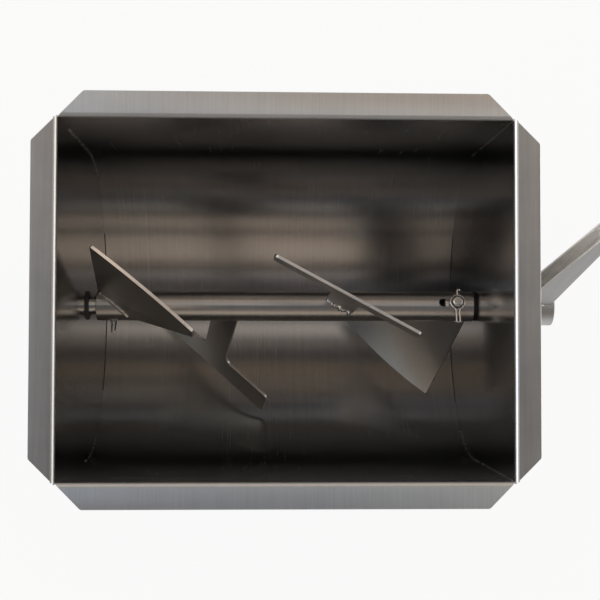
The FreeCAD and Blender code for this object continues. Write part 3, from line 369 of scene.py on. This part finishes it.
nodeFinish = {
    "trough_shell": "shellSteel", "end_plate": "endPlateSteel", "stand": "standSteel",
    "foot_screw": "fastenerSteel", "foot_nut": "fastenerSteel", "foot": "footRubber",
    "bearing_boss": "turnedSteel", "bushing": "bushingNylon", "shaft_seal": "sealRubber",
    "shaft_seal_left": "greySeal",
    "mixing_tube": "tubeSteel", "stub_shaft": "turnedSteel", "drive_shaft": "turnedSteel",
    "shaft_washer": "fastenerSteel", "shaft_nut": "fastenerSteel", "lock_pin": "turnedSteel",
    "pin_washer": "wireSteel", "spring_clip": "wireSteel", "end_paddle": "paddleSteel",
    "middle_paddle": "paddleSteel", "crank_hub": "hubSteel", "crank_set_screw": "fastenerSteel",
    "crank_arm": "crankSteel", "grip_bolt": "fastenerSteel", "grip_washer": "fastenerSteel",
    "grip_sleeve": "gripPlastic",
}


def finishFor(node):
    # the longest matching start wins, so foot_screw isn't taken for foot
    starts = [start for start in nodeFinish if node.startswith(start)]
    return materials[nodeFinish[max(starts, key=len)]]


for node, piece in frame["nodes"].items():
    for slot in piece.material_slots:
        slot.material = finishFor(node)
print("frame dressed")


# edges: the sheets and plates again, with rounded edges and a steel of their own on them; on the end plates
# that steel is a painted highlight along the bends

plateEdges = {
    # start of the node's name: rounding, slimmest and widest face that counts as an edge, and its steel
    "end_paddle": (0.00035, 0.0003, 0.0027, "cutSteel"),
    "middle_paddle": (0.00035, 0.0003, 0.0027, "cutSteel"),
    "crank_arm": (0.00030, 0.0016, 0.0022, "cutSteel"),
    "stand": (0.00030, 0.0016, 0.0022, "cutSteel"),
    # the end plates' edge steel is a painted highlight, brighter on the right plate than on the left
    "end_plate_left": (0.00042, 0.0001, 0.0014, "bendDimPaintedHighlight"),
    "end_plate_right": (0.00042, 0.0001, 0.0014, "bendPaintedHighlight"),
    "trough_shell": (0.00022, 0.0001, 0.0014, "foldSteel"),
}

rims = {
    "foldDepth": 0.0045,    # how far below the rim the long rims' folds reach
    "slant": 0.96,          # how much a rim's end draws in for each step outwards
}
# which faces of the crank's channel get the painted light
channel = {
    "inside": (-0.91, 0.27, 0.33),  # the way that the crank's channel is open to
    "match": 0.97,                  # how well a face or edge has to face that way
    "flange": 0.003,                # least width of a flange's inner face
    "upright": 0.2,                 # how far along the shaft a flange's face may lean
}
edgeRules = {
    "merge": 0.00001,
    # degrees: what counts as flat, as a sharp edge to round, and as a line in the shading
    "flat": 1,
    "sharp": 50,
    "creased": 20,
}


def stripWidth(face):
    # how wide a long face is
    around = face.calc_perimeter()
    return 2 * face.calc_area() / around if around else 0


def insideChannel(face):
    # the inner faces of the crank's channel, and the edges round its open side: the faces that get painted
    # light
    if face.normal.dot(Vector(channel["inside"])) > channel["match"]:
        return True
    centre = face.calc_center_median()
    middle = Vector((centre.x, 0, tank["shaftLevel"]))
    flange = stripWidth(face) > channel["flange"] and abs(face.normal.x) < channel["upright"]
    return flange and face.normal.dot(middle - centre) > 0


def trimFoldEnds(bm):
    # the long rims' folds run out on the same slant as the rims' own corners
    for vert in bm.verts:
        outward = abs(vert.co.y) - tank["radius"]
        if outward <= 0 or vert.co.z < tank["rim"] - rims["foldDepth"]:
            continue
        reach = tank["halfLength"] - outward * rims["slant"]
        along = vert.co.x - tankMiddle
        if abs(along) > reach:
            vert.co.x = tankMiddle + math.copysign(reach, along)


def roundEdges(node, rounding, slimmest, widest, steel):
    source = frame["nodes"][node]
    bm = bmesh.new()
    bm.from_mesh(source.data)
    bmesh.ops.remove_doubles(bm, verts=bm.verts, dist=edgeRules["merge"])
    limit = math.radians(edgeRules["flat"])
    bmesh.ops.dissolve_limit(bm, angle_limit=limit, verts=bm.verts, edges=bm.edges)
    if node == "trough_shell":
        trimFoldEnds(bm)
    limit = math.radians(edgeRules["sharp"])
    sharp = [edge for edge in bm.edges if len(edge.link_faces) == 2 and edge.calc_face_angle(0) > limit]
    bmesh.ops.bevel(bm, geom=sharp, offset=rounding, offset_type="OFFSET", segments=2, profile=0.5,
                    affect="EDGES", material=-1, clamp_overlap=True)
    for face in bm.faces:
        # index 1 is the edge steel, which on the end plates is a painted highlight; index 2 is painted
        # light inside the crank's channel
        face.material_index = 1 if slimmest < stripWidth(face) < widest else 0
        if node == "crank_arm" and insideChannel(face):
            face.material_index = 2
        face.smooth = True
    limit = math.radians(edgeRules["creased"])
    for edge in bm.edges:
        edge.smooth = len(edge.link_faces) == 2 and edge.calc_face_angle(0) < limit
    mesh = bpy.data.meshes.new(node + "_rounded")
    bm.to_mesh(mesh)
    bm.free()
    finishes = [finishFor(node), materials[steel]]
    if node == "crank_arm":
        finishes.append(materials["channelPaintedLight"])
    for finish in finishes:
        mesh.materials.append(finish)
    body = next(name for name, members in frame["record"]["behaviour"]["bodies"].items() if node in members)
    piece = newObject(node + "_rounded", mesh, body)
    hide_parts(node)


for node in list(frame["nodes"]):
    for start, values in plateEdges.items():
        if node.startswith(start):
            roundEdges(node, *values)
print("edges rounded")


# welds

welds = {
    # the beads up the tank's inside corners: half width, upper level, degrees that they go on round the
    # bottom, and steel (the front left one is laid on the bottom only)
    "cornerBead": {
        "back_left": (0.0011, 0.300, 28, "weldSteel"),
        "back_right": (0.0005, 0.350, 4, "weldSteel"),
        "front_left": (0.0006, 0.196, 30, "weldSteel"),
        "front_right": (0.0007, 0.343, 34, "weldSteel"),
    },
    "seamLine": {"left": 0.00036, "right": 0.00022},  # half width of the tight seam round the bottom
    "seamEnds": {"left": (57, 130), "right": (57, 137)},  # degrees round the bottom, from the back
    "rootBead": 0.0014,     # half width of the beads at the paddles' roots
    "wideBead": 0.0019,     # the same at the left end paddle
    "roughBead": 0.0023,    # the same at the right middle paddle, which was welded more roughly
    "standBead": 0.0014,    # half width of the stitches that hold the stands
    "standStitch": (0.018, 0.050),  # from the middle of the stand's top edge, the stitch's two ends
    "standSide": (0.128, 0.102),    # upper and lower level of the stitches on its slanting sides
    "bossBead": 0.0013,     # half width of the bead round a bearing boss
    "hubBead": 0.0012,      # half width of the two beads between crank arm and hub
    "hubTurns": (3.2, 74.8),        # degrees from straight up to those beads
    "hubReach": (0.1085, 0.1265),   # where they start and end along the shaft
    "step": 0.0011,         # spacing of the ripples
    # how much each kind of bead wanders
    "ragged": {
        "corner": 0.30, "seam": 0.15, "root": 0.5, "rough": 0.8, "stand": 0.45, "boss": 0.35, "hub": 0.4,
    },
    "cornerInset": 0.0002,  # the corner beads' distance from the end plate
    "cornerStep": 3,        # degrees between two points of a path round the bottom
}
beadShape = {
    "merge": 0.00001,
    "slowWander": 420,      # the thickness wanders slowly and fast along the bead, and at random
    "fastWander": 1100,
    "fastShare": 0.6,
    "jitter": 0.35,
    "tip": 0.35,            # thickness at an end, and what each further ripple adds to it
    "tipGrowth": 0.3,
    "skinWander": 1500,     # small dents in the skin
    "skinDepth": 0.35,
}
random.seed(11)


def beadMesh(name, points, width, ragged):
    # a wire along the points whose thickness wanders like a hand-laid bead
    curve = bpy.data.curves.new(name, "CURVE")
    curve.dimensions = "3D"
    curve.bevel_depth = width
    curve.bevel_resolution = 2
    curve.use_fill_caps = True
    spline = curve.splines.new("POLY")
    spline.points.add(len(points) - 1)
    for index, (knot, place) in enumerate(zip(spline.points, points)):
        knot.co = (*place, 1)
        slow = noise.noise(Vector(place) * beadShape["slowWander"])
        fast = noise.noise(Vector(place) * beadShape["fastWander"])
        wander = slow + beadShape["fastShare"] * fast
        fromEnd = min(index, len(points) - 1 - index)
        taper = min(1.0, beadShape["tip"] + beadShape["tipGrowth"] * fromEnd)
        jitter = random.uniform(-beadShape["jitter"], beadShape["jitter"])
        knot.radius = taper * (1 + ragged * (wander + jitter))
    holder = bpy.data.objects.new(name, curve)
    mesh = bpy.data.meshes.new_from_object(holder)
    bpy.data.objects.remove(holder)
    bpy.data.curves.remove(curve)
    bm = bmesh.new()
    bm.from_mesh(mesh)
    bpy.data.meshes.remove(mesh)
    bmesh.ops.remove_doubles(bm, verts=bm.verts, dist=beadShape["merge"])
    bm.normal_update()
    for vert in bm.verts:
        dent = noise.noise(vert.co * beadShape["skinWander"])
        vert.co += vert.normal * width * beadShape["skinDepth"] * ragged * dent
    return finishMesh(bm, name)


def spaced(points, step):
    # the same path with a point every step
    walked = [Vector(points[0])]
    left = step
    for start, finish in zip(points, points[1:]):
        start, finish = Vector(start), Vector(finish)
        span = (finish - start).length
        at = left
        while at <= span:
            walked.append(start.lerp(finish, at / span))
            at += step
        left = at - span
    return walked


def cornerPath(side, highest, turn, fromBack):
    # down the inside corner of the tank from the given level, and on round the bottom
    x = tankMiddle + side * (tank["halfLength"] - welds["cornerInset"])
    way = 1 if fromBack else -1
    path = [(x, way * tank["radius"], highest), (x, way * tank["radius"], tank["shaftLevel"])]
    for angle in range(welds["cornerStep"], turn + 1, welds["cornerStep"]):
        bend = math.radians(angle)
        level = tank["shaftLevel"] - tank["radius"] * math.sin(bend)
        path.append((x, way * tank["radius"] * math.cos(bend), level))
    return path


def addWeld(name, path, width, ragged, body, steel):
    mesh = beadMesh(name, spaced(path, welds["step"]), width, ragged)
    mesh.materials.append(materials[steel])
    newObject(name, mesh, body)


for side, label in ((-1, "left"), (1, "right")):
    start, finish = [angle // welds["cornerStep"] for angle in welds["seamEnds"][label]]
    whole = cornerPath(side, tank["shaftLevel"], 180, True)[1:]
    # the tight seam is dark steel: the weld's heat tint, with painted crevice shade
    addWeld("corner_seam_" + label, whole[start:finish], welds["seamLine"][label], welds["ragged"]["seam"],
            "root", "seamTintAndPaintedShade")
    for fromBack, end in ((True, "back"), (False, "front")):
        width, top, turn, steel = welds["cornerBead"][end + "_" + label]
        addWeld("corner_bead_%s_%s" % (end, label), cornerPath(side, top, turn, fromBack), width,
                welds["ragged"]["corner"], "root", steel)


rootRules = {
    "lift": 0.0003,         # how far the roots' beads stand out from the tube
    "halfPlate": 0.0016,    # and from the middle of the plate
    "steps": 24,
}
paddles = {
    # place from the tank's middle, angle, skew and lean as the plates stand, and the root's two ends
    "end_left": (-0.1431, -20.4, 38.7, 0.0, (-0.0146, 0.0185)),
    "end_right": (0.146, 130.0, -40.3, -11.9, (-0.0185, 0.0146)),
    "middle_left": (-0.0462, 144.1, -41.5, -11.5, (-0.0124, 0.0124)),
    "middle_right": (0.0485, -2.9, 28.3, 0.0, (-0.0124, 0.0124)),
}


def rootPath(place, angle, skew, lean, ends, side):
    # where one face of a paddle's plate meets the tube
    turn = Matrix.Rotation(math.radians(angle), 3, "X") @ Matrix.Rotation(math.radians(-skew), 3, "Z")
    turn = turn @ Matrix.Rotation(math.radians(lean), 3, "Y")
    along, across, outward = turn.col[0], turn.col[1], turn.col[2]
    radius = tank["tubeRadius"] + rootRules["lift"]
    path = []
    for step in range(rootRules["steps"] + 1):
        share = ends[0] + (ends[1] - ends[0]) * step / rootRules["steps"]
        foot = along * share + across * side * rootRules["halfPlate"]
        # the rise along the plate at which its face crosses the tube, from a quadratic equation
        a = outward.y ** 2 + outward.z ** 2
        b = 2 * (foot.y * outward.y + foot.z * outward.z)
        c = foot.y ** 2 + foot.z ** 2 - radius ** 2
        inside = b * b - 4 * a * c
        if inside < 0:
            continue
        rise = (-b + math.sqrt(inside)) / (2 * a)
        path.append(foot + outward * rise + Vector((tankMiddle + place, 0, tank["shaftLevel"])))
    return path


for name, values in paddles.items():
    for side, label in ((-1, "front"), (1, "back")):
        width, ragged = welds["rootBead"], welds["ragged"]["root"]
        if name == "middle_right":
            width, ragged = welds["roughBead"], welds["ragged"]["rough"]
        if name == "end_left":
            width = welds["wideBead"]
        addWeld("root_bead_%s_%s" % (name, label), rootPath(*values, side), width, ragged,
                "mixer", "weldSteel")


standShape = {
    "top": 0.142,           # level of the stand's top edge
    "halfTop": 0.065,       # half of that edge's length
    "spread": 0.060,        # how far each side runs outwards on its way down
    "drop": 0.124,          # that way down
}
endWelds = {
    "standLift": 0.0006,    # how far the stand's beads stand out from the end plate
    "stitchLift": 0.0003,   # and from the stand's top edge
    "sideLift": 0.0005,     # and from its sides
    "bossLift": 0.0011,     # how far a boss's bead stands out from the end plate
    "bossInset": 0.0010,    # and how far it lies inside the boss's radius
    "bossStep": 5,          # degrees
    "hubLift": 0.0003,      # how far the hub's beads stand out from it
}


def standEdge(level):
    # how far out the stand's slanting side is at a level
    return standShape["halfTop"] + (standShape["top"] - level) * standShape["spread"] / standShape["drop"]


def addEndWelds(side, label):
    # outside an end plate: stitches along the stand and a bead round the bearing boss
    face = tankMiddle + side * (tank["halfLength"] + tank["sheet"])
    x = face + side * endWelds["standLift"]
    over = standShape["top"] + endWelds["stitchLift"]
    for way, end in ((1, "back"), (-1, "front")):
        ends = [(x, way * place, over) for place in welds["standStitch"]]
        addWeld("stand_stitch_%s_%s" % (end, label), ends, welds["standBead"], welds["ragged"]["stand"],
                "root", "weldSteel")
        ends = [(x, way * (standEdge(level) + endWelds["sideLift"]), level) for level in welds["standSide"]]
        addWeld("stand_side_bead_%s_%s" % (end, label), ends, welds["standBead"], welds["ragged"]["stand"],
                "root", "weldSteel")
    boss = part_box("bearing_boss_" + label)
    radius = (boss[1][1] - boss[0][1]) / 2 - endWelds["bossInset"]
    x = face + side * endWelds["bossLift"]
    ring = []
    for angle in range(0, 361, endWelds["bossStep"]):
        turn = math.radians(angle)
        ring.append((x, radius * math.sin(turn), tank["shaftLevel"] + radius * math.cos(turn)))
    addWeld("boss_bead_" + label, ring, welds["bossBead"], welds["ragged"]["boss"],
            "root", "weldSteel")


addEndWelds(-1, "left")
addEndWelds(1, "right")
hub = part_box("crank_hub")
hubRadius = (hub[1][1] - hub[0][1]) / 2 + endWelds["hubLift"]
for angle, label in zip(welds["hubTurns"], ("upper", "lower")):
    turn = math.radians(angle)
    foot = (hubRadius * math.sin(turn), tank["shaftLevel"] + hubRadius * math.cos(turn))
    addWeld("hub_bead_" + label, [(x, *foot) for x in welds["hubReach"]], welds["hubBead"],
            welds["ragged"]["hub"], "mixer", "weldSteel")
print("welds laid")


# floor, light and camera

stage = {
    "floorSize": 12.0,
    "floorSides": 96,
    "floorLevel": -0.0005,
    "floorColour": 0.90,
    "floorGlow": 0.90,      # how much of the floor's seen light is its own, so that a soft shadow remains
    "backdrop": 0.972,      # the world as the camera sees it
}
room = {
    # sine of the elevation, and the room's light there: pale walls all round at the object's level,
    # a dim upper room in front, a bright warm wall high up behind
    "front": (
        (-1.0, (0.90, 0.90, 0.90)), (0.14, (0.88, 0.88, 0.88)), (0.30, (0.42, 0.41, 0.43)),
        (0.50, (0.40, 0.33, 0.29)), (0.58, (0.37, 0.27, 0.20)), (0.65, (0.39, 0.30, 0.21)),
        (0.71, (0.33, 0.275, 0.215)), (0.76, (0.17, 0.14, 0.115)), (0.81, (0.06, 0.05, 0.05)),
        (0.85, (0.19, 0.16, 0.14)), (0.89, (0.34, 0.305, 0.285)), (0.92, (0.14, 0.125, 0.13)),
        (0.95, (0.03, 0.03, 0.035)), (1.00, (0.06, 0.06, 0.07))),
    "back": (
        (-1.0, (0.90, 0.90, 0.90)), (0.14, (0.92, 0.91, 0.89)), (0.30, (1.25, 1.16, 1.06)),
        (0.50, (1.32, 1.14, 0.97)), (0.58, (1.10, 0.90, 0.73)), (0.65, (1.04, 0.84, 0.69)),
        (0.71, (1.12, 0.94, 0.80)), (0.76, (1.07, 0.91, 0.77)), (0.81, (0.72, 0.59, 0.48)),
        (0.85, (0.25, 0.19, 0.15)), (0.89, (0.11, 0.11, 0.115)), (0.92, (0.41, 0.37, 0.34)),
        (0.95, (0.69, 0.61, 0.545)), (0.975, (0.67, 0.62, 0.57)), (0.99, (0.29, 0.31, 0.34)),
        (1.00, (0.12, 0.19, 0.27))),
    "blend": 0.35,  # how far from the middle the front passes into the back
}


def makeFloor():
    bm = bmesh.new()
    bmesh.ops.create_circle(bm, cap_ends=True, segments=stage["floorSides"], radius=stage["floorSize"] / 2)
    mesh = finishMesh(bm, "floor", smooth=False)
    floor = bpy.data.objects.new("floor", mesh)
    floor.location.z = stage["floorLevel"]
    bpy.context.scene.collection.objects.link(floor)
    material = bpy.data.materials.new("paleFloor")
    material.use_nodes = True
    tree = material.node_tree
    tree.nodes.clear()
    matte = addNode(tree, "ShaderNodeBsdfDiffuse")
    matte.inputs["Color"].default_value = (*[stage["floorColour"]] * 3, 1.0)
    glow = addNode(tree, "ShaderNodeEmission")
    glow.inputs["Color"].default_value = (1, 1, 1, 1)
    path = addNode(tree, "ShaderNodeLightPath")
    mirrored = mathNode(tree, "MAXIMUM", path.outputs["Is Glossy Ray"], path.outputs["Is Transmission Ray"])
    seen = mathNode(tree, "MAXIMUM", path.outputs["Is Camera Ray"], mirrored)
    mix = addNode(tree, "ShaderNodeMixShader")
    link(tree, mathNode(tree, "MULTIPLY", seen, stage["floorGlow"]), mix.inputs[0])
    link(tree, matte.outputs[0], mix.inputs[1])
    link(tree, glow.outputs[0], mix.inputs[2])
    end = addNode(tree, "ShaderNodeOutputMaterial")
    link(tree, mix.outputs[0], end.inputs["Surface"])
    mesh.materials.append(material)


def makeWorld():
    world = bpy.data.worlds.new("studio")
    bpy.context.scene.world = world
    world.use_nodes = True
    tree = world.node_tree
    back = tree.nodes["Background"]
    place = addNode(tree, "ShaderNodeTexCoord")
    split = addNode(tree, "ShaderNodeSeparateXYZ")
    link(tree, place.outputs["Generated"], split.inputs[0])
    height = mathNode(tree, "ADD", mathNode(tree, "MULTIPLY", split.outputs["Z"], 0.5), 0.5)
    halves = []
    for half in ("front", "back"):
        ramp = addNode(tree, "ShaderNodeValToRGB")
        while len(ramp.color_ramp.elements) < len(room[half]):
            ramp.color_ramp.elements.new(0.5)
        for element, (level, light) in zip(ramp.color_ramp.elements, room[half]):
            element.position = level / 2 + 0.5
            element.color = (*light, 1)
        link(tree, height, ramp.inputs[0])
        halves.append(ramp.outputs[0])
    far = addNode(tree, "ShaderNodeMapRange", interpolation_type="SMOOTHSTEP")
    far.inputs["From Min"].default_value = -room["blend"]
    far.inputs["From Max"].default_value = room["blend"]
    link(tree, split.outputs["Y"], far.inputs["Value"])
    whole = addNode(tree, "ShaderNodeMix", data_type="RGBA")
    link(tree, far.outputs[0], whole.inputs["Factor"])
    link(tree, halves[0], whole.inputs[6])
    link(tree, halves[1], whole.inputs[7])
    path = addNode(tree, "ShaderNodeLightPath")
    shown = addNode(tree, "ShaderNodeMix", data_type="RGBA")
    shown.inputs[7].default_value = (*[stage["backdrop"]] * 3, 1)
    link(tree, path.outputs["Is Camera Ray"], shown.inputs["Factor"])
    link(tree, whole.outputs[2], shown.inputs[6])
    link(tree, shown.outputs[2], back.inputs["Color"])
    back.inputs["Strength"].default_value = 1.0


lamps = [
    # name, place, aim, size, watts, colour
    ("leftPanel", (-1.8, 0.0, 1.75), (tankMiddle, 0, 0.2), (1.6, 1.6), 10.6, (0.60, 0.78, 1.0)),
    ("rightPanel", (1.7, 0.0, 1.75), (tankMiddle, 0, 0.2), (1.4, 1.4), 6.6, (0.85, 0.98, 1.0)),
]


def makeLamps():
    for name, place, aim, (width, height), watts, colour in lamps:
        data = bpy.data.lights.new(name, "AREA")
        data.shape = "RECTANGLE"
        data.size = width
        data.size_y = height
        data.energy = watts
        data.color = colour
        lamp = bpy.data.objects.new(name, data)
        lamp.location = place
        direction = Vector(aim) - Vector(place)
        lamp.rotation_euler = direction.to_track_quat("-Z", "Y").to_euler()
        bpy.context.scene.collection.objects.link(lamp)


view = {
    "lens": 72.0,
    "sensor": 36.0,
    # from the middle of the tank at its rim, in metres
    "above": 0.8608,
    "right": -0.0218,
    "back": -0.0289,
    # degrees off straight down
    "pitch": -1.90,
    "yaw": 2.08,
    "roll": -0.12,
}


def makeCamera():
    data = bpy.data.cameras.new("camera")
    data.lens = view["lens"]
    data.sensor_width = view["sensor"]
    data.sensor_fit = "HORIZONTAL"
    data.clip_end = 30
    camera = bpy.data.objects.new("camera", data)
    turn = Matrix.Rotation(math.radians(view["pitch"]), 3, "X")
    turn = turn @ Matrix.Rotation(math.radians(view["yaw"]), 3, "Y")
    turn = turn @ Matrix.Rotation(math.radians(view["roll"]), 3, "Z")
    place = Vector((tankMiddle + view["right"], view["back"], rimLevel + view["above"]))
    camera.matrix_world = Matrix.Translation(place) @ turn.transposed().to_4x4()
    bpy.context.scene.collection.objects.link(camera)
    bpy.context.scene.camera = camera


makeFloor()
makeWorld()
makeLamps()
makeCamera()
bpy.context.scene.view_settings.view_transform = "Standard"
print("stage ready")
